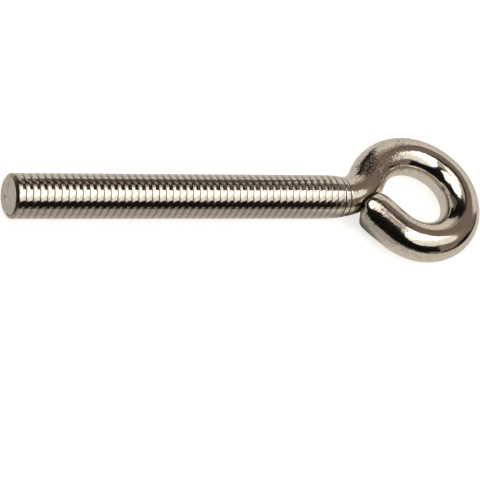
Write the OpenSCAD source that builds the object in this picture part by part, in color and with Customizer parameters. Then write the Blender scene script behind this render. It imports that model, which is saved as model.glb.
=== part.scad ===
// Screw eye bent from one length of round wire: a shank rolled with a machine thread, and a
// closed eye whose sheared end is pressed against the neck. It lies flat. X runs along the
// shank from the centre of its sheared end, and the wire of the eye is centred on the XY plane.

/* [Wire] */
// Diameter of the plain wire that the eye is bent from
wire_d = 5.3; // [4.5:0.1:6]
// Extra diameter of the wire at its sheared end, where the blade spread it
end_spread = 0.3; // [0:0.05:0.6]

/* [Shank] */
// Length from the sheared end to the start of the neck
shank_l = 49; // [20:0.5:120]
// Outside diameter of the rolled thread, as a plain cylinder over its crests
thread_d = 6; // [5.5:0.1:8]
// Length over which the thread runs out to the plain wire
runout_l = 2.2; // [0.5:0.1:5]
// Diameter of the flat face at the end of the shank
face_d = 5.2; // [4:0.1:5.4]
// Length of the worn first turn between the flat face and the full thread
lead_l = 0.45; // [0.1:0.05:2]

/* [Eye] */
// Radius of the neck's bend away from the shank, at the middle of the wire
neck_r = 6; // [5:0.1:8]
// Angle that the neck's bend turns through
neck_turn = 58; // [50:1:66]
// Radius of the shoulder, where the wire bends back over the eye
shoulder_r = 7.6; // [7:0.1:9]
// Angle that the shoulder turns through
shoulder_turn = 104; // [80:1:120]
// Radius of the front of the eye
front_r = 6.5; // [5.8:0.1:7]

/* [Closing end] */
// Angle along the neck's bend at which the wire's end meets it
seat_turn = 31; // [24:1:38]
// Gap left between the sheared end and the neck
seat_gap = 0.06; // [0.02:0.02:0.4]
// Angle by which the shear cut leans over the top of the neck
cut_lean = 16; // [0:1:24]

/* [Hidden] */
$fn = 96;
plated_steel = [0.78, 0.74, 0.69];
wire_r = wire_d / 2;

// Unit vectors in the plane of the eye: along a heading, and square to it on its left
function along(heading) = [cos(heading), sin(heading)];
function left_of(heading) = [-sin(heading), cos(heading)];

// The wire's middle line, followed from the shank: each arc starts where the last one ends
neck_c = [shank_l, neck_r];
neck_end = neck_c - neck_r * left_of(neck_turn);
shoulder_c = neck_end - shoulder_r * left_of(neck_turn);
front_heading = neck_turn - shoulder_turn;
shoulder_end = shoulder_c + shoulder_r * left_of(front_heading);
front_c = shoulder_end - front_r * left_of(front_heading);

// The cut face touches the neck's side, seat_gap short of it, square to the neck's radius there
seat_heading = seat_turn - 90;
seat = neck_c + (neck_r + (wire_r + seat_gap) / cos(cut_lean)) * along(seat_heading);

// The closing leg is the straight line from the seat that is tangent to the front arc
to_front = front_c - seat;
leg_l = sqrt(to_front * to_front - front_r * front_r);
leg_heading = atan2(to_front[1], to_front[0]) - asin(front_r / norm(to_front)) - 180;
leg_start = seat - leg_l * along(leg_heading);

// Length that the leg runs past its cut, and the size of the block that cuts it
overrun = wire_r;
cut_block = 4 * wire_d;

// Neighbouring bends stop short of each other by twice this, and a ball a hair wider than the
// wire bridges them, so that the bends fuse into one solid without surfaces that only graze
joint_trim = 0.05;
joint_swell = 0.02;

// Lying flat, the part leans on its shank and one side of its eye. The seam of the turned
// shank lies this many degrees off its lowest line, so that no facet edge is what it stands on
seam_turn = 3;

// Wire bent round a centre, from one direction seen from there to another
module bend(centre, bend_r, from, to)
    let (trim = joint_trim / bend_r * 180 / PI)
        translate(centre)
            rotate(from + trim)
                rotate_extrude(angle = to - from - 2 * trim)
                    translate([bend_r, 0])
                        circle(d = wire_d);

module joint(place, heading)
    translate(place)
        rotate([0, 90, heading])
            sphere(d = wire_d + 2 * joint_swell);

module shank()
    rotate([0, 90, 0])
        rotate(seam_turn)
            rotate_extrude()
                polygon([
                    [0, 0],
                    [face_d / 2, 0],
                    [thread_d / 2, lead_l],
                    [thread_d / 2, shank_l - runout_l],
                    [wire_r, shank_l],
                    [0, shank_l]
                ]);

// The one bend to the left
module neck() bend(neck_c, neck_r, -90, neck_turn - 90);

module shoulder() bend(shoulder_c, shoulder_r, front_heading + 90, neck_turn + 90);

module front() bend(front_c, front_r, leg_heading + 90, front_heading + 90);

// Straight end of the wire, spread towards its cut
module closing_leg()
    difference() {
        translate(leg_start)
            rotate([0, 90, leg_heading])
                cylinder(h = leg_l + overrun, r1 = wire_r, r2 = wire_r + end_spread / 2);
        translate(seat)
            rotate([0, -cut_lean, seat_heading])
                translate([-cut_block, -cut_block / 2, -cut_block / 2])
                    cube(cut_block);
    }

module screw_eye()
    color(plated_steel)
        union() {
            shank();
            joint([shank_l, 0], 0);
            neck();
            joint(neck_end, neck_turn);
            shoulder();
            joint(shoulder_end, front_heading);
            front();
            joint(leg_start, leg_heading);
            closing_leg();
        }

screw_eye();
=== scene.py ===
"""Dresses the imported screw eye: rolled thread, bent wire, sheared ends, plating and a studio."""
import logging
import math
from dataclasses import dataclass, field
from enum import Enum

import bmesh
import bpy
import numpy as np
from bmesh.types import BMEdge, BMesh, BMFace, BMVert
from bpy.types import Material, Mesh, Node, NodeSocket, NodeTree, Object, World
from mathutils import Matrix, Vector


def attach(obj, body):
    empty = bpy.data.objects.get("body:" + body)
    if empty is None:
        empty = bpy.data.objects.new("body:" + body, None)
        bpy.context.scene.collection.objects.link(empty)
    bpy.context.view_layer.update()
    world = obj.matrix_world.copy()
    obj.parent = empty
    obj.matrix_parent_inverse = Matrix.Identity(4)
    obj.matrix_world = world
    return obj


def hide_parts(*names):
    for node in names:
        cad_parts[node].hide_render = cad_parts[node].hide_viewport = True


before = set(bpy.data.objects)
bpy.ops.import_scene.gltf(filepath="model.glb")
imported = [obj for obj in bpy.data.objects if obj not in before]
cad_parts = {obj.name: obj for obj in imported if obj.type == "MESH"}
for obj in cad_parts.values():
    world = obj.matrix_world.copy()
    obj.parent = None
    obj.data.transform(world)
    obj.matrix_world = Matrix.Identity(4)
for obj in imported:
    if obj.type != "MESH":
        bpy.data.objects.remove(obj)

log = logging.getLogger("screw_eye")

# One millimetre in the scene's metres
MM = 0.001
# How near to each other vertices are merged, and how near to a plane they lie on it, in mm
MERGE = 0.001
ON_PLANE = 0.0001

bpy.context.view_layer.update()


class Side(Enum):
    """The surfaces of the wire that are finished apart, by material slot."""

    PLATED = 0
    SHEARED = 1


# Small helpers


def linear(code: str) -> tuple[float, float, float, float]:
    """Turns an sRGB hex value into a linear colour.

    Args:
        code: Six hex digits, such as "c8beb0".

    Returns:
        Red, green, blue and an alpha of 1.
    """
    parts = [int(code[i : i + 2], 16) / 255 for i in (0, 2, 4)]
    red, green, blue = (
        part / 12.92 if part <= 0.04045 else ((part + 0.055) / 1.055) ** 2.4
        for part in parts
    )
    return red, green, blue, 1.0


def add_node(tree: NodeTree, kind: str, inputs: dict | None = None, **settings: object) -> Node:
    """Adds one node to a tree.

    Args:
        tree: The node tree.
        kind: The node's type name.
        inputs: Socket name or index to a value, or to the output socket that feeds it.
        settings: Properties of the node.

    Returns:
        The new node.
    """
    node = tree.nodes.new(kind)
    for name, value in settings.items():
        setattr(node, name, value)
    for name, value in (inputs or {}).items():
        if isinstance(value, NodeSocket):
            tree.links.new(value, node.inputs[name])
        else:
            node.inputs[name].default_value = value
    return node


def smooth_step(value: float, low: float, high: float) -> float:
    """Eases from 0 at low to 1 at high."""
    t = min(max((value - low) / (high - low), 0.0), 1.0)
    return t * t * (3 - 2 * t)


# The wire's centre line


@dataclass(frozen=True)
class Bend:
    """One stretch of the wire: its length in mm and how far it turns to the left, in degrees."""

    length: float
    turn: float = 0.0

    @classmethod
    def arc(cls, radius: float, turn: float) -> "Bend":
        """Gives the stretch that turns by an angle at a radius of the centre line."""
        return cls(radius * math.radians(abs(turn)), turn)


@dataclass
class CentreLine:
    """The centre line of the bent wire, flat in XY, from the sheared end of the shank."""

    bends: tuple[Bend, ...]
    # Length in mm over which one bend eases into the next, and the spacing of the stations
    easing: float = 0.8
    step: float = 0.02
    stations: np.ndarray = field(init=False)
    heading: np.ndarray = field(init=False)
    points: np.ndarray = field(init=False)

    def __post_init__(self) -> None:
        """Adds up the bends into a heading and a point at each station."""
        ends = np.cumsum([0.0] + [bend.length for bend in self.bends])
        turns = np.cumsum([0.0] + [bend.turn for bend in self.bends])
        self.stations = np.arange(0.0, ends[-1], self.step)
        sharp = np.interp(self.stations, ends, turns)
        reach = round(self.easing / self.step / 2)
        padded = np.pad(sharp, reach, mode="edge")
        window = np.ones(2 * reach + 1) / (2 * reach + 1)
        self.heading = np.radians(np.convolve(padded, window, mode="valid"))
        middle = (self.heading[1:] + self.heading[:-1]) / 2
        steps = self.step * np.stack([np.cos(middle), np.sin(middle)], axis=1)
        self.points = np.vstack([np.zeros(2), np.cumsum(steps, axis=0)])

    def bent(self, place: Vector) -> Vector:
        """Moves a point of the straight rod to where it lies once the rod is bent.

        Args:
            place: Distance along the rod, then the offsets to the left and up, in mm.

        Returns:
            The point in the part's frame, in mm.
        """
        heading = float(np.interp(place.x, self.stations, self.heading))
        x = float(np.interp(place.x, self.stations, self.points[:, 0]))
        y = float(np.interp(place.x, self.stations, self.points[:, 1]))
        beyond = max(place.x - float(self.stations[-1]), 0.0)
        left = Vector((-math.sin(heading), math.cos(heading), 0.0))
        ahead = Vector((math.cos(heading), math.sin(heading), 0.0))
        return Vector((x, y, place.z)) + place.y * left + beyond * ahead


# The rod before it is bent


class Hand(Enum):
    """Which way a thread climbs: the sign of its turn for each step along the rod."""

    RIGHT = 1
    LEFT = -1


@dataclass(frozen=True)
class RolledThread:
    """A thread rolled into thinner wire: broad flat crests and narrow roots.

    Sizes are in mm. The profile gives the depth below the crest at places along one pitch,
    from the bottom of one root to the bottom of the next.
    """

    # Radius over the crests and at the flat end, length of the worn lead-in, and pitch
    crest_r: float = 3.0
    face_r: float = 2.6
    lead: float = 0.32
    pitch: float = 1.0
    # Where round the rod, in degrees from +Y, the first root runs out through the lead-in
    run_out: float = 110.0
    # The way the photograph shows the thread climbing
    hand: Hand = Hand.LEFT
    # Where a root crosses +Y, in pitches from the flat end
    phase: float = -0.42
    # Stations, and how far the thread's body has narrowed to the plain wire there
    shrink: tuple[tuple[float, float], ...] = (
        (46.0, 0.0), (47.0, 0.06), (48.5, 0.32), (48.7, 0.52), (49.3, 0.64), (49.5, 0.86), (50.5, 1.0),
    )
    # Stations between which the roots fade out, and where the plain wire takes over
    fade: tuple[float, float] = (47.4, 48.5)
    end: float = 50.6
    profile: tuple[tuple[float, float], ...] = (
        (0.0, 0.18), (0.04, 0.15), (0.06, 0.095), (0.08, 0.063), (0.12, 0.0535), (0.2, 0.0405),
        (0.3, 0.0255), (0.4, 0.0125), (0.48, 0.0045), (0.55, 0.001), (0.62, 0.0), (0.72, 0.0),
        (0.82, 0.0), (0.9, 0.0), (0.94, 0.0), (0.965, 0.06), (1.0, 0.18),
    )
    # Rings that the ends of the rolling dies left: station, depth and half width
    die_marks: tuple[tuple[float, float, float], ...] = ((48.6, 0.09, 0.13), (49.4, 0.06, 0.13))
    # The depth at which a ring is drawn fully dark with painted shade and dull, and the most that it
    # gets
    mark_depth: float = 0.05
    mark_shade_and_dull: float = 0.9
    # How strongly the lead-in is drawn dark with painted shade, and dull, away from the run-out and at
    # it
    lead_shade_and_dull: tuple[float, float] = (0.25, 0.9)
    # Angles round the rod in degrees from +Y, and how strongly the roots' painted shade is drawn
    # there. This is fitted to how dark the lines are in the photograph, where the cause isn't known
    root_shade_by_angle: tuple[tuple[float, float], ...] = (
        (20.0, 1.3), (86.0, 1.3), (97.0, 0.7), (120.0, 0.7), (132.0, 1.0), (330.0, 1.0),
    )
    # Faces round the rod
    spokes: int = 72

    def depth_at(self, station: float, angle: float) -> float:
        """Gives how deep below the crest a point of the full thread lies.

        Args:
            station: Distance along the rod in mm.
            angle: Angle round the rod in radians, from +Y towards +Z.

        Returns:
            The depth in mm.
        """
        turns = station / self.pitch - self.hand.value * angle / math.tau - self.phase
        places, depths = zip(*self.profile)
        return float(np.interp(turns - math.floor(turns), places, depths))

    def mark_at(self, station: float) -> float:
        """Gives how deep the die marks are at a station.

        Args:
            station: Distance along the rod in mm.

        Returns:
            The depth in mm.
        """
        return sum(
            depth * max(1 - abs(station - middle) / half, 0.0)
            for middle, depth, half in self.die_marks
        )

    def root_share(self, station: float, angle: float) -> float:
        """Gives how dark, with painted shade, and how dull a point of the thread is.

        Args:
            station: Distance along the rod in mm.
            angle: Angle round the rod in radians, from +Y towards +Z.

        Returns:
            The dullness, from 0 on a crest to 1 in a root.
        """
        left = 1 - smooth_step(station, *self.fade)
        # How strongly the roots' painted shade is drawn at this angle round the rod
        dull = float(np.interp(math.degrees(angle) % 360, *zip(*self.root_shade_by_angle), period=360))
        share = min(left * dull * self.depth_at(station, angle) / self.profile[0][1], 1.0)
        aside = (1 + math.cos(angle - math.radians(self.run_out))) / 2
        away, at_run_out = self.lead_shade_and_dull
        lead = away + (at_run_out - away) * aside**2 if station < self.lead else 0.0
        return max(share, lead, min(self.mark_at(station) / self.mark_depth, self.mark_shade_and_dull))

    def radius_at(self, station: float, angle: float, wire_r: float) -> float:
        """Gives the rod's radius at a point of the thread.

        Args:
            station: Distance along the rod in mm.
            angle: Angle round the rod in radians, from +Y towards +Z.
            wire_r: Radius of the plain wire in mm.

        Returns:
            The radius in mm.
        """
        left = 1 - smooth_step(station, *self.fade)
        body = self.crest_r - (self.crest_r - wire_r) * float(np.interp(station, *zip(*self.shrink)))
        lead = self.face_r + (self.crest_r - self.face_r) * min(station / self.lead, 1.0)
        return min(body, lead) - self.depth_at(station, angle) * left - self.mark_at(station)

    def turn_strip(self, bm: BMesh) -> None:
        """Spins one pitch of the profile into a helical turn and repeats it along the rod.

        Args:
            bm: The mesh to add to.
        """
        start = self.phase - 1
        verts = [bm.verts.new(((start + off) * self.pitch, self.crest_r, 0)) for off, _ in self.profile]
        edges = [bm.edges.new(pair) for pair in zip(verts, verts[1:])]
        axis = Vector((1, 0, 0))
        advance = Vector((self.pitch, 0, 0))
        bmesh.ops.spin(
            bm, geom=verts + edges, axis=axis, cent=(0, 0, 0), angle=self.hand.value * math.tau,
            steps=self.spokes, dvec=advance / self.spokes, use_merge=False,
        )
        bmesh.ops.spin(
            bm, geom=bm.verts[:] + bm.edges[:] + bm.faces[:], axis=axis, cent=(0, 0, 0),
            angle=0, steps=math.ceil(self.end / self.pitch) + 1, dvec=advance,
            use_duplicate=True,
        )
        bmesh.ops.remove_doubles(bm, verts=bm.verts[:], dist=MERGE)


@dataclass
class BentWire:
    """The whole screw eye: one length of wire, threaded, bent, and sheared at both ends.

    Sizes are in mm and angles in degrees.
    """

    # Radius of the plain wire, and its stretches in order from the shank's flat end
    wire_r: float = 2.65
    shank: float = 49.0
    neck: Bend = Bend.arc(6.0, 58.0)
    shoulder: Bend = Bend.arc(7.6, -104.0)
    front: Bend = Bend.arc(6.5, -181.6)
    leg: float = 4.42
    # How much wider bending pressed the outside of the wire: station and width
    spread: tuple[tuple[float, float], ...] = (
        (69.0, 0.0), (73.0, 0.15), (77.0, 0.25), (85.0, 0.25), (89.5, 0.28), (96.6, 0.5),
    )
    # How far the leg is modelled past its cut
    overrun: float = 2.65
    # A point of the closing cut, the direction from the neck into the leg, and its lean
    seat: tuple[float, float] = (53.5422, -1.5595)
    seat_heading: float = -59.0
    cut_lean: float = 16.0
    # Length of the bridge from the thread to the plain wire, and spacing of the wire's rings
    bridge: float = 0.05
    ring_gap: float = 0.42
    # Width of the broken edge of the shank's flat end, and of the closing cut
    face_rim: float = 0.12
    cut_rim: float = 0.08
    # How far along and how deep the shear rolled the closing end over: at the hole, on the
    # outside and on top
    rolled: tuple[tuple[float, float], ...] = ((0.2, 0.15), (0.7, 0.5), (2.3, 0.62))
    # How far along and how deep the outer corner is pressed in besides
    corner: tuple[float, float] = (2.6, 0.9)
    # Width of the rim that presses on the neck, drawn dark as painted shade, and what the corner adds
    # to it
    seat_rim: tuple[float, float] = (0.16, 0.6)
    # Rings of the roll, closer together towards the cut
    roll_steps: int = 12
    # Past this angle an edge shows as a sharp one
    sharp_angle: float = 50.0
    thread: RolledThread = RolledThread()

    @property
    def length(self) -> float:
        """Length of the rod up to the closing cut, in mm."""
        bends = (self.neck, self.shoulder, self.front)
        return self.shank + sum(bend.length for bend in bends) + self.leg

    @property
    def leg_heading(self) -> float:
        """Direction in which the closing leg runs, in radians from +X."""
        return math.radians(self.neck.turn + self.shoulder.turn + self.front.turn)

    @property
    def cut_normal(self) -> Vector:
        """Works out which way the closing cut faces.

        Returns:
            The cut's normal, towards the metal that stays.
        """
        heading = math.radians(self.seat_heading)
        lean = math.radians(self.cut_lean)
        return Vector((
            math.cos(lean) * math.cos(heading),
            math.cos(lean) * math.sin(heading),
            math.sin(lean),
        ))

    def add_plain_wire(self, bm: BMesh) -> None:
        """Adds the tube of plain wire that follows the thread, as close rings.

        Args:
            bm: The mesh to add to.
        """
        start = self.thread.end + self.bridge
        stop = self.length + self.overrun
        turned = Matrix.Rotation(math.pi / 2, 4, "Y")
        tube = bmesh.ops.create_cone(
            bm, cap_ends=False, segments=self.thread.spokes, radius1=self.wire_r,
            radius2=self.wire_r, depth=stop - start,
            matrix=Matrix.Translation(((start + stop) / 2, 0, 0)) @ turned,
        )["verts"]
        edges = dict.fromkeys(edge for vert in tube for edge in vert.link_edges)
        long = [edge for edge in edges if edge.calc_length() > self.wire_r]
        bmesh.ops.subdivide_edges(bm, edges=long, cuts=round((stop - start) / self.ring_gap))

    def cut_thread(self, bm: BMesh) -> None:
        """Cuts the helical strip square at the sheared end and where the plain wire takes over.

        Args:
            bm: The mesh.
        """
        for station, outer in ((0.0, False), (self.thread.end, True)):
            bmesh.ops.bisect_plane(
                bm, geom=bm.verts[:] + bm.edges[:] + bm.faces[:], dist=ON_PLANE,
                plane_co=(station, 0, 0), plane_no=(1, 0, 0),
                clear_outer=outer, clear_inner=not outer,
            )

    def shape_rod(self, bm: BMesh) -> None:
        """Gives each vertex of the straight rod its radius, and notes its place and its share of
        painted shade and dullness.

        Args:
            bm: The mesh, straight.
        """
        place = bm.verts.layers.float_vector.new("rod_place")
        shade_and_dull = bm.verts.layers.float.new("shade_and_dull")
        stations, widths = zip(*self.spread)
        for vert in bm.verts:
            station, side, lift = vert.co
            angle = math.atan2(lift, side)
            if station <= self.thread.end + MERGE:
                radius = self.thread.radius_at(station, angle, self.wire_r)
                vert[shade_and_dull] = self.thread.root_share(station, angle)
            else:
                outside = (1 + math.cos(angle)) / 2
                radius = self.wire_r + float(np.interp(station, stations, widths)) * outside
            vert.co = (station, radius * math.cos(angle), radius * math.sin(angle))
            vert[place] = vert.co

    def join(self, bm: BMesh) -> None:
        """Bridges the cut end of the thread to the first ring of the plain wire.

        Args:
            bm: The mesh, straight.
        """
        end, reach = self.thread.end, 2 * self.bridge
        loops = [
            edge for edge in bm.edges
            if edge.is_boundary and all(abs(vert.co.x - end) < reach for vert in edge.verts)
        ]
        bmesh.ops.bridge_loops(bm, edges=loops)

    def bend(self, bm: BMesh) -> None:
        """Bends the rod along its centre line.

        Args:
            bm: The mesh, straight.
        """
        leg = Bend(self.leg + self.overrun)
        bends = (Bend(self.shank), self.neck, self.shoulder, self.front, leg)
        line = CentreLine(bends)
        for vert in bm.verts:
            vert.co = line.bent(vert.co)

    def cap(self, bm: BMesh, edges: list[BMEdge], rim: float) -> list[BMFace]:
        """Closes a sheared end with a face that has a broken edge.

        Args:
            bm: The mesh.
            edges: The boundary loop of the end.
            rim: Width of the broken edge in mm.

        Returns:
            The faces of the end.
        """
        faces = bmesh.ops.holes_fill(bm, edges=edges, sides=0)["faces"]
        inner = bmesh.ops.inset_region(bm, faces=faces, thickness=rim, use_even_offset=True)
        poked = bmesh.ops.poke(bm, faces=faces)["faces"]
        return poked + inner["faces"]

    def shear_leg(self, bm: BMesh, leg: list[BMFace]) -> list[BMVert]:
        """Shears the closing leg, and cuts rings into it for the roll of its rim.

        Args:
            bm: The mesh, bent.
            leg: The faces of the closing leg.

        Returns:
            The vertices of the sheared leg.
        """
        seat = Vector((*self.seat, 0.0))
        normal = self.cut_normal
        geom = list(dict.fromkeys(item for face in leg for item in (*face.verts, *face.edges, face)))
        for step in range(self.roll_steps + 1):
            depth = self.rolled[-1][0] * (step / self.roll_steps) ** 2
            cut = bmesh.ops.bisect_plane(
                bm, geom=geom, dist=ON_PLANE, plane_co=seat + depth * normal,
                plane_no=normal, clear_inner=step == 0,
            )
            geom = [item for item in dict.fromkeys(cut["geom"]) if item.is_valid]
        return [item for item in geom if isinstance(item, BMVert)]

    def roll_rim(self, bm: BMesh, verts: list[BMVert]) -> None:
        """Rolls the rim of the closing cut over, and paints shade on the part that presses on the neck.

        Args:
            bm: The mesh, bent.
            verts: The vertices of the sheared leg.
        """
        seat = Vector((*self.seat, 0.0))
        normal = self.cut_normal
        ahead = Vector((math.cos(self.leg_heading), math.sin(self.leg_heading), 0.0))
        outward = Vector((-ahead.y, ahead.x, 0.0))
        hole, outside, top = (Vector(pair) for pair in self.rolled)
        shade_and_dull = bm.verts.layers.float["shade_and_dull"]
        for vert in verts:
            offset = vert.co - seat
            across = (offset - offset.dot(ahead) * ahead).normalized()
            # Where round the leg: from the hole to the outside, over the top, at the corner
            aside = (1 + across.dot(outward)) / 2
            over = max(across.z, 0.0) ** 2
            facing = max(across.dot(outward), 0.0) ** 4
            deep = max(offset.dot(normal), 0.0)
            # Painted shade on the rim that presses on the neck
            vert[shade_and_dull] = max(1 - deep / (self.seat_rim[0] + self.seat_rim[1] * facing), 0.0)
            reach, drop = (hole + (outside - hole) * aside) * (1 - over) + top * over
            rolled = sum(
                depth * (1 - math.sqrt(1 - max(1 - deep / length, 0.0) ** 2))
                for length, depth in ((reach, drop), (self.corner[0], self.corner[1] * facing))
            )
            vert.co -= across * rolled

    def close_ends(self, bm: BMesh, leg: list[BMFace]) -> None:
        """Shears both ends: the shank's square one, and the one that closes on the neck.

        Args:
            bm: The mesh, bent.
            leg: The faces of the closing leg.
        """
        start = [
            edge for edge in bm.edges
            if edge.is_boundary and all(abs(vert.co.x) < MERGE for vert in edge.verts)
        ]
        sheared = self.cap(bm, start, self.face_rim)
        self.roll_rim(bm, self.shear_leg(bm, leg))
        rest = [edge for edge in bm.edges if edge.is_boundary]
        sheared += self.cap(bm, rest, self.cut_rim)
        for face in sheared:
            if face.is_valid:
                face.material_index = Side.SHEARED.value

    def model(self) -> Mesh:
        """Models the wire.

        Returns:
            The mesh, in metres in the part's frame.
        """
        bm = bmesh.new()
        self.thread.turn_strip(bm)
        self.cut_thread(bm)
        self.add_plain_wire(bm)
        self.shape_rod(bm)
        self.join(bm)
        leg_start = self.length - self.leg
        leg = [face for face in bm.faces if face.calc_center_median().x > leg_start]
        self.bend(bm)
        self.close_ends(bm, leg)
        bmesh.ops.recalc_face_normals(bm, faces=bm.faces[:])
        bmesh.ops.scale(bm, vec=(MM, MM, MM), verts=bm.verts[:])
        for face in bm.faces:
            face.smooth = True
        mesh = bpy.data.meshes.new("bent_threaded_wire")
        open_edges = sum(not edge.is_manifold for edge in bm.edges)
        log.info("wire: %d faces, %d open edges", len(bm.faces), open_edges)
        bm.to_mesh(mesh)
        bm.free()
        mesh.set_sharp_from_angle(angle=math.radians(self.sharp_angle))
        return mesh

    def build(self) -> Object:
        """Models the wire, gives it its finishes and lets it take the solid's place.

        Returns:
            The piece.
        """
        mesh = self.model()
        finishes = {Side.PLATED: PlatedSteel(), Side.SHEARED: ShearedSteel()}
        for side in Side:
            mesh.materials.append(finishes[side].make())
        piece = bpy.data.objects.new("threaded_eye", mesh)
        bpy.context.scene.collection.objects.link(piece)
        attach(piece, "root")
        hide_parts("screw_eye")
        return piece


# Finishes


@dataclass(frozen=True)
class PlatedSteel:
    """Bright warm-toned plating on drawn steel wire, with sizes in mm.

    The eye sees sharp bands of light and dark along the wire, dark lines of painted shade in
    the thread's roots and on the rim pressed on the neck, and a grain on the neck, the shoulder
    and the closing leg, where bending opened the plating.
    """

    # Tones of the plating, its clouds, the painted shade on the thread's flanks and in its roots, and
    # the opened plating
    tone: str = "e2dace"
    dull: str = "d4cbbf"
    flank_shade_tone: str = "bfb3a4"
    root_shade_tone: str = "43392f"
    open_tone: str = "8b7d6f"
    # Shares of painted shade and dullness between which the flank's shade tone takes over, and then the
    # root's
    flank: tuple[float, float] = (0.03, 0.25)
    root: tuple[float, float] = (0.45, 0.85)
    # Size of the clouds in the film, the stretch of their noise that is used, and the
    # roughness that it gives
    cloud: float = 10 / 7
    cloud_range: tuple[float, float] = (0.3, 0.7)
    roughness: tuple[float, float] = (0.08, 0.12)
    # What the opened plating and the flanks add to the roughness
    opened_rough: float = 0.05
    flank_rough: float = 0.09
    # Stations, and how far the bends opened the plating there
    opened: tuple[tuple[float, float], ...] = (
        (48.0, 0.15), (52.0, 0.45), (54.5, 1.0), (60.0, 0.9), (64.5, 0.2), (84.0, 0.2),
        (88.0, 0.5), (94.0, 0.5),
    )
    # Grain of the opened plating and its height. The real grain is too fine to show in the
    # render, so it is drawn coarser
    peel: float = 0.34
    peel_height: float = 0.05
    # The stretch of the grain's noise that turns dark, and how dark it gets
    speck_range: tuple[float, float] = (0.48, 0.58)
    speck_share: float = 0.75
    # Patches of grain, the stretch of their noise that is used, and the grain off and on them
    patch: float = 3.0
    patch_range: tuple[float, float] = (0.4, 0.6)
    patch_share: tuple[float, float] = (0.3, 1.0)
    # Lines that the drawing die left, also drawn coarser than they are: their width, their
    # height, and their width as a share of their length
    draw_line: float = 0.07
    draw_height: float = 0.0006
    draw_stretch: float = 0.04

    def bent(self, tree: NodeTree, station: NodeSocket) -> Node:
        """Adds the ramp that says how far the bends opened the plating.

        Args:
            tree: The material's node tree.
            station: Distance along the rod in mm.

        Returns:
            The ramp's node.
        """
        first, last = self.opened[0][0], self.opened[-1][0]
        share = add_node(tree, "ShaderNodeMapRange", {
            "Value": station, "From Min": first, "From Max": last,
        })
        ramp = add_node(tree, "ShaderNodeValToRGB", {0: share.outputs[0]})
        stops = ramp.color_ramp.elements
        for place, amount in self.opened[1:-1]:
            stops.new((place - first) / (last - first)).color = (amount, amount, amount, 1)
        for stop, (_, amount) in ((stops[0], self.opened[0]), (stops[-1], self.opened[-1])):
            stop.color = (amount, amount, amount, 1)
        return ramp

    def patched(self, tree: NodeTree, place: NodeSocket, bent: Node) -> Node:
        """Adds the strength of the opened plating's grain, which lies in patches.

        Args:
            tree: The material's node tree.
            place: Place on the straight rod in mm.
            bent: How far the bends opened the plating.

        Returns:
            The node that gives the strength.
        """
        patch = add_node(tree, "ShaderNodeTexNoise", {
            "Vector": place, "Scale": 1 / self.patch, "Detail": 1.0,
        })
        opened = add_node(tree, "ShaderNodeMapRange", {
            "Value": patch.outputs["Fac"],
            "From Min": self.patch_range[0], "From Max": self.patch_range[1],
            "To Min": self.patch_share[0], "To Max": self.patch_share[1],
        })
        return add_node(tree, "ShaderNodeMath", {0: opened.outputs[0], 1: bent.outputs[0]},
                        operation="MULTIPLY")

    def specked(self, tree: NodeTree, grain: Node, strength: Node) -> Node:
        """Adds the dark specks between the grains of the opened plating.

        Args:
            tree: The material's node tree.
            grain: The noise of the grain.
            strength: How strong the grain is.

        Returns:
            The node that gives how dark a speck is.
        """
        speck = add_node(tree, "ShaderNodeMapRange", {
            "Value": grain.outputs["Fac"], "To Max": self.speck_share,
            "From Min": self.speck_range[0], "From Max": self.speck_range[1],
        })
        return add_node(tree, "ShaderNodeMath", {0: speck.outputs[0], 1: strength.outputs[0]},
                        operation="MULTIPLY")

    def relief(self, tree: NodeTree, place: NodeSocket, grain: Node, strength: Node) -> Node:
        """Adds the relief: the opened plating's grain, with the drawing lines over it.

        Args:
            tree: The material's node tree.
            place: Place on the straight rod in mm.
            grain: The noise of the grain.
            strength: How strong the grain is.

        Returns:
            The node that gives the normal.
        """
        height = add_node(tree, "ShaderNodeMath", {
            0: grain.outputs["Fac"], 1: strength.outputs[0],
        }, operation="MULTIPLY")
        peel = add_node(tree, "ShaderNodeBump", {
            "Height": height.outputs[0], "Distance": self.peel_height * MM,
        })
        stretched = add_node(tree, "ShaderNodeMapping", {
            "Vector": place, "Scale": (self.draw_stretch, 1.0, 1.0),
        })
        lines = add_node(tree, "ShaderNodeTexNoise", {
            "Vector": stretched.outputs[0], "Scale": 1 / self.draw_line, "Detail": 2.0,
        })
        return add_node(tree, "ShaderNodeBump", {
            "Height": lines.outputs["Fac"], "Distance": self.draw_height * MM,
            "Normal": peel.outputs[0],
        })

    def make(self) -> Material:
        """Makes the material.

        Returns:
            The material.
        """
        material = bpy.data.materials.new("bright_plated_steel")
        material.use_nodes = True
        tree = material.node_tree
        shader = tree.nodes["Principled BSDF"]
        shader.inputs["Metallic"].default_value = 1.0
        place = add_node(tree, "ShaderNodeAttribute", attribute_name="rod_place").outputs["Vector"]
        shade_and_dull = add_node(tree, "ShaderNodeAttribute", attribute_name="shade_and_dull")
        along = add_node(tree, "ShaderNodeSeparateXYZ", {0: place})
        bent = self.bent(tree, along.outputs["X"])
        cloud = add_node(tree, "ShaderNodeTexNoise", {
            "Vector": place, "Scale": 1 / self.cloud, "Detail": 3.0,
        })
        grain = add_node(tree, "ShaderNodeTexNoise", {
            "Vector": place, "Scale": 1 / self.peel, "Detail": 2.0,
        })
        strength = self.patched(tree, place, bent)
        specked = self.specked(tree, grain, strength)
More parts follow.
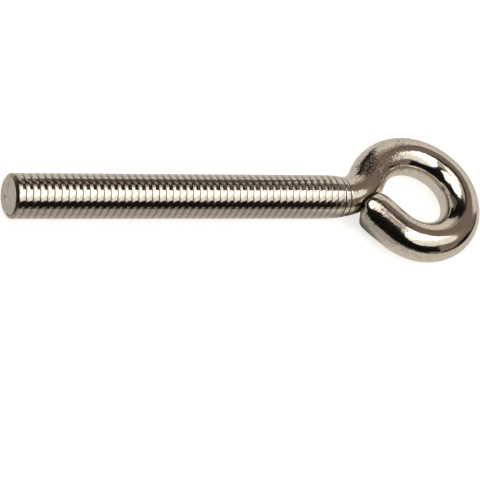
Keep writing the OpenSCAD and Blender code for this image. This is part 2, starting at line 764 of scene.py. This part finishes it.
        # The flank and root tones paint shade into the thread's roots, the die marks, the lead-in and
        # the rim pressed on the neck
        flank, root = (
            add_node(tree, "ShaderNodeMapRange", {
                "Value": shade_and_dull.outputs["Fac"], "From Min": low, "From Max": high,
            }) for low, high in (self.flank, self.root)
        )
        colour = linear(self.tone)
        for share, tone in (
            (cloud.outputs["Fac"], self.dull), (specked.outputs[0], self.open_tone),
            (flank.outputs[0], self.flank_shade_tone), (root.outputs[0], self.root_shade_tone),
        ):
            colour = add_node(tree, "ShaderNodeMix", {
                "Factor": share, 6: colour, 7: linear(tone),
            }, data_type="RGBA").outputs[2]
        tree.links.new(colour, shader.inputs["Base Color"])
        rough = add_node(tree, "ShaderNodeMapRange", {
            "Value": cloud.outputs["Fac"],
            "From Min": self.cloud_range[0], "From Max": self.cloud_range[1],
            "To Min": self.roughness[0], "To Max": self.roughness[1],
        })
        for share, more in ((bent, self.opened_rough), (flank, self.flank_rough)):
            rough = add_node(tree, "ShaderNodeMath", {
                0: share.outputs[0], 1: more, 2: rough.outputs[0],
            }, operation="MULTIPLY_ADD")
        tree.links.new(rough.outputs[0], shader.inputs["Roughness"])
        relief = self.relief(tree, place, grain, strength)
        tree.links.new(relief.outputs[0], shader.inputs["Normal"])
        return material


@dataclass(frozen=True)
class ShearedSteel:
    """Sheared steel under thin plating, with sizes in mm.

    The eye sees a matte face with the knife's streaks and a few dark pits. The closing cut
    is drawn dark as painted shade where it lies against the neck.
    """

    tone: str = "ebe3d7"
    streak_tone: str = "c4b9ab"
    pit_tone: str = "85796c"
    # The closing cut lies against the neck and is drawn dark there as painted shade: its tone,
    # and the places along X between which it takes over
    seat_shade_tone: str = "4a4138"
    seat_shade: tuple[float, float] = (30.0, 31.0)
    # Way the knife went across the end, as a turn about X in degrees
    cut_way: float = 27.0
    # Streaks: their width, that as a share of their length, the stretch of their noise that
    # is used, and their height
    streak: float = 0.16
    streak_stretch: float = 0.12
    streak_range: tuple[float, float] = (0.35, 0.65)
    streak_height: float = 0.012
    # Pits: their size, the stretch of their noise that is used, and their depth
    pit: float = 0.9
    pit_range: tuple[float, float] = (0.62, 0.7)
    pit_depth: float = 0.02
    roughness: tuple[float, float] = (0.45, 0.65)

    def make(self) -> Material:
        """Makes the material.

        Returns:
            The material.
        """
        material = bpy.data.materials.new("sheared_steel")
        material.use_nodes = True
        tree = material.node_tree
        shader = tree.nodes["Principled BSDF"]
        shader.inputs["Metallic"].default_value = 1.0
        place = add_node(tree, "ShaderNodeTexCoord").outputs["Object"]
        turned = add_node(tree, "ShaderNodeMapping", {
            "Vector": place, "Rotation": (-math.radians(self.cut_way), 0, 0),
        })
        drawn = add_node(tree, "ShaderNodeMapping", {
            "Vector": turned.outputs[0], "Scale": (1 / MM, self.streak_stretch / MM, 1 / MM),
        })
        streaks = add_node(tree, "ShaderNodeTexNoise", {
            "Vector": drawn.outputs[0], "Scale": 1 / self.streak, "Detail": 3.0,
        })
        pits = add_node(tree, "ShaderNodeTexNoise", {
            "Vector": place, "Scale": 1 / (self.pit * MM), "Detail": 4.0,
        })
        streaked, pitted = (
            add_node(tree, "ShaderNodeMapRange", {
                "Value": noise.outputs["Fac"], "From Min": low, "From Max": high,
            }) for noise, (low, high) in ((streaks, self.streak_range), (pits, self.pit_range))
        )
        along = add_node(tree, "ShaderNodeSeparateXYZ", {0: place})
        # Painted shade on the closing cut, where it lies against the neck
        seat_shade = add_node(tree, "ShaderNodeMapRange", {
            "Value": along.outputs["X"],
            "From Min": self.seat_shade[0] * MM, "From Max": self.seat_shade[1] * MM,
        })
        colour = linear(self.tone)
        for share, tone in (
            (streaked, self.streak_tone), (pitted, self.pit_tone), (seat_shade, self.seat_shade_tone),
        ):
            colour = add_node(tree, "ShaderNodeMix", {
                "Factor": share.outputs[0], 6: colour, 7: linear(tone),
            }, data_type="RGBA").outputs[2]
        tree.links.new(colour, shader.inputs["Base Color"])
        rough = add_node(tree, "ShaderNodeMapRange", {
            "Value": streaks.outputs["Fac"],
            "To Min": self.roughness[0], "To Max": self.roughness[1],
        })
        tree.links.new(rough.outputs[0], shader.inputs["Roughness"])
        relief = add_node(tree, "ShaderNodeBump", {
            "Height": streaks.outputs["Fac"], "Distance": self.streak_height * MM,
        })
        dents = add_node(tree, "ShaderNodeBump", {
            "Height": pitted.outputs[0], "Distance": self.pit_depth * MM,
            "Normal": relief.outputs[0],
        }, invert=True)
        tree.links.new(dents.outputs[0], shader.inputs["Normal"])
        return material


# The studio


@dataclass(frozen=True)
class PhotoCamera:
    """The camera at the photograph's place, in mm in the part's frame."""

    place: tuple[float, float, float] = (-148.12, -165.04, 312.83)
    right: tuple[float, float, float] = (0.88936, -0.21063, 0.40581)
    up: tuple[float, float, float] = (0.00400, 0.89111, 0.45377)
    back: tuple[float, float, float] = (-0.45720, -0.40194, 0.79336)
    lens: float = 221.56
    sensor: float = 36.0
    clip: tuple[float, float] = (10.0, 20000.0)

    def build(self) -> Object:
        """Makes the camera and sets it as the scene's.

        Returns:
            The camera.
        """
        data = bpy.data.cameras.new("photo_camera")
        data.lens = self.lens
        data.sensor_width = self.sensor
        data.clip_start = self.clip[0] * MM
        data.clip_end = self.clip[1] * MM
        camera = bpy.data.objects.new("photo_camera", data)
        bpy.context.scene.collection.objects.link(camera)
        turned = Matrix((self.right, self.up, self.back)).transposed().to_4x4()
        camera.matrix_world = Matrix.Translation(Vector(self.place) * MM) @ turned
        bpy.context.scene.camera = camera
        return camera


def glow_material(name: str, tone: str, strength: float, hem: float = 1.0,
                  rise: tuple[float, float] = (0.0, 1.0)) -> Material:
    """Makes the glow of a card, which can fall off towards its lower edge.

    Args:
        name: Name of the material.
        tone: Its colour as an sRGB hex value.
        strength: How bright it is, where 1 shows the colour as written.
        hem: Share of the strength that is left at the lower edge.
        rise: Heights in metres between which it comes up to its full strength.

    Returns:
        The material.
    """
    material = bpy.data.materials.new(name)
    material.use_nodes = True
    tree = material.node_tree
    tree.nodes.clear()
    place = add_node(tree, "ShaderNodeTexCoord")
    height = add_node(tree, "ShaderNodeSeparateXYZ", {0: place.outputs["Object"]})
    power = add_node(tree, "ShaderNodeMapRange", {
        "Value": height.outputs["Z"], "From Min": rise[0], "From Max": rise[1],
        "To Min": hem * strength, "To Max": strength,
    }, interpolation_type="SMOOTHSTEP")
    glow = add_node(tree, "ShaderNodeEmission", {
        "Color": linear(tone), "Strength": power.outputs[0],
    })
    add_node(tree, "ShaderNodeOutputMaterial", {"Surface": glow.outputs[0]})
    return material


def hang_card(name: str, corners: list[Vector], glow: Material) -> Object:
    """Makes a flat card that the camera doesn't see, and links it into the scene.

    Args:
        name: Name of the card.
        corners: Its corners in metres, in order.
        glow: Its material.

    Returns:
        The card.
    """
    bm = bmesh.new()
    for corner in corners:
        bm.verts.new(corner)
    bmesh.ops.contextual_create(bm, geom=bm.verts[:])
    mesh = bpy.data.meshes.new(name)
    bm.to_mesh(mesh)
    bm.free()
    mesh.materials.append(glow)
    card = bpy.data.objects.new(name, mesh)
    card.visible_camera = False
    bpy.context.scene.collection.objects.link(card)
    return card


@dataclass(frozen=True)
class Card:
    """A flat lit card a good way off: a silk in front of a lamp, or a board that it lights.

    Its corners are the directions in which the object sees them, as azimuth from +X and
    elevation in degrees, because that is what settles where its reflection falls.
    """

    name: str
    corners: tuple[tuple[float, float], ...]
    tone: str
    strength: float
    distance: float = 1600.0
    # Share of the strength at the lower edge, and the heights above it in mm between which
    # the card comes up to its full strength
    hem: float = 1.0
    rise: tuple[float, float] = (130.0, 330.0)
    aim: tuple[float, float, float] = (35.0, 0.0, 0.0)

    def corner(self, azimuth: float, elevation: float) -> Vector:
        """Places a corner.

        Args:
            azimuth: Its direction in degrees, from +X towards +Y.
            elevation: Its height above the horizon in degrees.

        Returns:
            The corner in metres.
        """
        turn, climb = math.radians(azimuth), math.radians(elevation)
        flat = self.distance * math.cos(climb)
        return MM * (Vector(self.aim) + Vector((
            flat * math.cos(turn), flat * math.sin(turn), self.distance * math.sin(climb),
        )))

    def build(self) -> Object:
        """Makes the card, which only the metal and the floor see.

        Returns:
            The card.
        """
        corners = [self.corner(*direction) for direction in self.corners]
        foot = min(corner.z for corner in corners)
        rise = (foot + self.rise[0] * MM, foot + self.rise[1] * MM)
        glow = glow_material(self.name, self.tone, self.strength, self.hem, rise)
        return hang_card(self.name, corners, glow)


@dataclass(frozen=True)
class Flag:
    """A card near the part, with its corners as places in mm.

    A dark one draws a line along the shank and a bright one lights the flanks of the thread.
    """

    name: str
    corners: tuple[tuple[float, float, float], ...]
    tone: str
    strength: float = 1.0

    def build(self) -> Object:
        """Makes the card, which only the metal sees.

        Returns:
            The card.
        """
        corners = [Vector(corner) * MM for corner in self.corners]
        flag = hang_card(self.name, corners, glow_material(self.name, self.tone, self.strength))
        flag.visible_diffuse = False
        flag.visible_shadow = False
        return flag


@dataclass(frozen=True)
class PaperFloor:
    """Pale paper that the part lies on, in mm. The camera sees it lifted to white."""

    # Half its side, where its middle lies along X, and its height
    half: float = 700.0
    middle: float = 35.0
    level: float = -3.0
    tone: str = "ece6dd"
    lift: float = 0.74
    # The paper as the metal sees it, and how much of that is even light, free of shadow
    seen_tone: str = "f2ede6"
    seen: float = 0.86
    even: float = 0.8
    # Where the paper gets darker towards its near edge, along Y, and the share of light there
    near_edge: tuple[float, float] = (-64.0, -38.0)
    near_share: float = 0.06
    # The same beside the shank, and where the shank ends, along X
    beside: tuple[float, float] = (-7.0, 0.0)
    beside_share: float = 0.6
    shank_end: tuple[float, float] = (42.0, 56.0)
    # The spot under the joint of neck and closing end, its reach, and the share of light there
    joint: tuple[float, float, float] = (53.0, -3.0, -3.0)
    joint_reach: tuple[float, float] = (1.5, 5.5)
    joint_share: float = 0.2

    def reflected(self, tree: NodeTree) -> NodeSocket:
        """Adds the paper's light as the metal sees it.

        It falls off towards the near edge of the paper, beside the shank on the side away
        from the lamps, and under the spot where the closing end meets the neck. All three
        are fitted to the dark bands on the metal in the photograph.

        Args:
            tree: The paper's node tree.

        Returns:
            The shader's output.
        """
        place = add_node(tree, "ShaderNodeTexCoord")
        parts = add_node(tree, "ShaderNodeSeparateXYZ", {0: place.outputs["Object"]})
        away = add_node(tree, "ShaderNodeVectorMath", {
            0: place.outputs["Object"], 1: Vector(self.joint) * MM,
        }, operation="DISTANCE")
        edge, beside, beyond, joint = (
            add_node(tree, "ShaderNodeMapRange", {
                "Value": value, "From Min": low * MM, "From Max": high * MM,
                "To Min": least, "To Max": most,
            }, interpolation_type="SMOOTHSTEP")
            for value, (low, high), least, most in (
                (parts.outputs["Y"], self.near_edge, self.near_share * self.seen, self.seen),
                (parts.outputs["Y"], self.beside, self.beside_share, 1.0),
                (parts.outputs["X"], self.shank_end, 0.0, 1.0),
                (away.outputs["Value"], self.joint_reach, self.joint_share, 1.0),
            )
        )
        shank = add_node(tree, "ShaderNodeMath", {0: beside.outputs[0], 1: beyond.outputs[0]},
                         operation="MAXIMUM")
        strength = edge
        for share in (shank, joint):
            strength = add_node(tree, "ShaderNodeMath", {
                0: strength.outputs[0], 1: share.outputs[0],
            }, operation="MULTIPLY")
        glow = add_node(tree, "ShaderNodeEmission", {
            "Color": linear(self.seen_tone), "Strength": strength.outputs[0],
        })
        return glow.outputs[0]

    def make(self) -> Material:
        """Makes the paper: matte, with no shine, so that the eye sees a soft shadow on it.

        Returns:
            The material.
        """
        material = bpy.data.materials.new("matte_paper")
        material.use_nodes = True
        tree = material.node_tree
        tree.nodes.clear()
        paper = add_node(tree, "ShaderNodeBsdfDiffuse", {"Color": linear(self.tone)})
        path = add_node(tree, "ShaderNodeLightPath")
        either = add_node(tree, "ShaderNodeMath", {
            0: path.outputs["Is Glossy Ray"], 1: path.outputs["Is Transmission Ray"],
        }, operation="MAXIMUM")
        share = add_node(tree, "ShaderNodeMath", {0: either.outputs[0], 1: self.even},
                         operation="MULTIPLY")
        sheet = add_node(tree, "ShaderNodeMixShader", {
            0: share.outputs[0], 1: paper.outputs[0], 2: self.reflected(tree),
        })
        lift = add_node(tree, "ShaderNodeMath", {0: path.outputs["Is Camera Ray"], 1: self.lift},
                        operation="MULTIPLY")
        glow = add_node(tree, "ShaderNodeEmission", {"Strength": lift.outputs[0]})
        both = add_node(tree, "ShaderNodeAddShader", {0: sheet.outputs[0], 1: glow.outputs[0]})
        add_node(tree, "ShaderNodeOutputMaterial", {"Surface": both.outputs[0]})
        return material

    def build(self) -> Object:
        """Makes the floor.

        Returns:
            The floor.
        """
        bm = bmesh.new()
        bmesh.ops.create_grid(bm, x_segments=1, y_segments=1, size=self.half * MM)
        bmesh.ops.translate(bm, verts=bm.verts[:], vec=(self.middle * MM, 0, self.level * MM))
        mesh = bpy.data.meshes.new("paper_floor")
        bm.to_mesh(mesh)
        bm.free()
        mesh.materials.append(self.make())
        floor = bpy.data.objects.new("paper_floor", mesh)
        bpy.context.scene.collection.objects.link(floor)
        return floor


@dataclass(frozen=True)
class Room:
    """The dim room round the table. The camera sees a white backdrop in its place."""

    tone: str = "15130f"
    backdrop: str = "ffffff"

    def build(self) -> World:
        """Makes the world.

        Returns:
            The world.
        """
        world = bpy.data.worlds.new("room")
        world.use_nodes = True
        tree = world.node_tree
        tree.nodes.clear()
        path = add_node(tree, "ShaderNodeLightPath")
        seen = add_node(tree, "ShaderNodeMix", {
            "Factor": path.outputs["Is Camera Ray"], 6: linear(self.tone),
            7: linear(self.backdrop),
        }, data_type="RGBA")
        back = add_node(tree, "ShaderNodeBackground", {"Color": seen.outputs[2]})
        add_node(tree, "ShaderNodeOutputWorld", {"Surface": back.outputs[0]})
        bpy.context.scene.world = world
        return world


# The silks hang over the wire to the right and to the left. The boards and screens between
# them are what the wire shows where no silk is
CARDS = (
    Card("right_silk", ((-102, 46), (-94, 41), (-84, 36.5), (-76, 35.5), (-56, 36.5), (-46, 38),
                        (-36, 36), (-24, 33), (-15, 35), (-7, 42), (2, 50), (9, 54), (11, 63),
                        (18, 71), (-45, 76), (-98, 69), (-104, 60)),
         "fffcf6", 3.8, distance=800, hem=0.29),
    Card("left_silk", ((166, 46), (147, 45), (120, 51), (104, 57), (92, 66), (80, 74),
                       (120, 79), (190, 77), (192, 68), (183, 54)),
         "ffffff", 1.8, distance=800),
    Card("far_board", ((12, 1), (82, 1), (82, 20), (80, 31), (66, 33), (48, 33), (36, 31),
                       (20, 31), (12, 25)), "e0dbd4", 1.05),
    Card("far_board_top", ((48, 33), (66, 33), (82, 31), (80, 36), (71, 41), (60, 45), (52, 43)),
         "b5ab9e", 1.0),
    Card("low_board", ((-52, 0.3), (-70, 0.3), (-70, 5), (-52, 5)), "a89f94", 1.0),
    Card("high_board", ((40, 63), (56, 58), (75, 57), (92, 60), (92, 66), (80, 74), (60, 70)),
         "c9c0b4", 1.0),
    Card("side_board", ((112, 1), (205, 1), (205, 13), (130, 17), (114, 16)), "cfc8be", 0.85),
    Card("brown_screen", ((-54, 5), (-34, 6), (-24, 16), (-10, 17), (-4, 7), (12, 7), (12, 24),
                          (40, 30), (50, 41), (64, 46), (56, 60), (20, 66), (-10, 60),
                          (-40, 44), (-54, 30)), "82746a", 1.0, distance=1900),
    Card("warm_board", ((-54, 6), (-36, 8), (-22, 22), (-2, 33), (8, 46), (0, 50), (-12, 42),
                        (-40, 38), (-54, 28)), "8f8072", 1.0, distance=1800),
    Card("ceiling", ((-106, 75), (-104, 70), (-45, 76), (20, 68), (60, 70), (120, 80),
                     (-150, 80)), "b0a79c", 1.0, distance=2600),
)


# The dark ones stand beyond the shank and high up past the eye, and the sheets hang over the
# shank. The lower sheet is near enough that only the shank's flanks see it
FLAGS = (
    Flag("low_flag", ((8, 25, 11), (59, 25, 11), (50, 25, 26), (13, 25, 26)), "695e54"),
    Flag("high_flag", ((120, 12, 300), (121, 60, 300), (126, 115, 300), (140, 196, 300),
                       (200, 196, 300), (194, 115, 300), (192, 60, 300), (190, 12, 300)),
         "241e19"),
    Flag("top_sheet", ((16, 4, 300), (20, 60, 300), (30, 100, 300), (106, 100, 300),
                       (108, 60, 300), (110, 4, 300)), "fffaf4", 1.8),
    Flag("near_sheet", ((2, -21, 60), (2, 1, 60), (56, 1, 60), (52, -6, 60), (45, -21, 60)),
         "fffaf4", 2.0),
)


def main() -> None:
    """Builds the wire and the studio in order, and reports each piece."""
    logging.basicConfig(level=logging.INFO, format="%(name)s: %(message)s")
    log.info("piece %s", BentWire().build().name)
    for item in (PhotoCamera(), PaperFloor(), Room(), *CARDS, *FLAGS):
        log.info("studio %s", item.build().name)
    bpy.context.scene.view_settings.view_transform = "Standard"


if __name__ == "__main__":
    main()
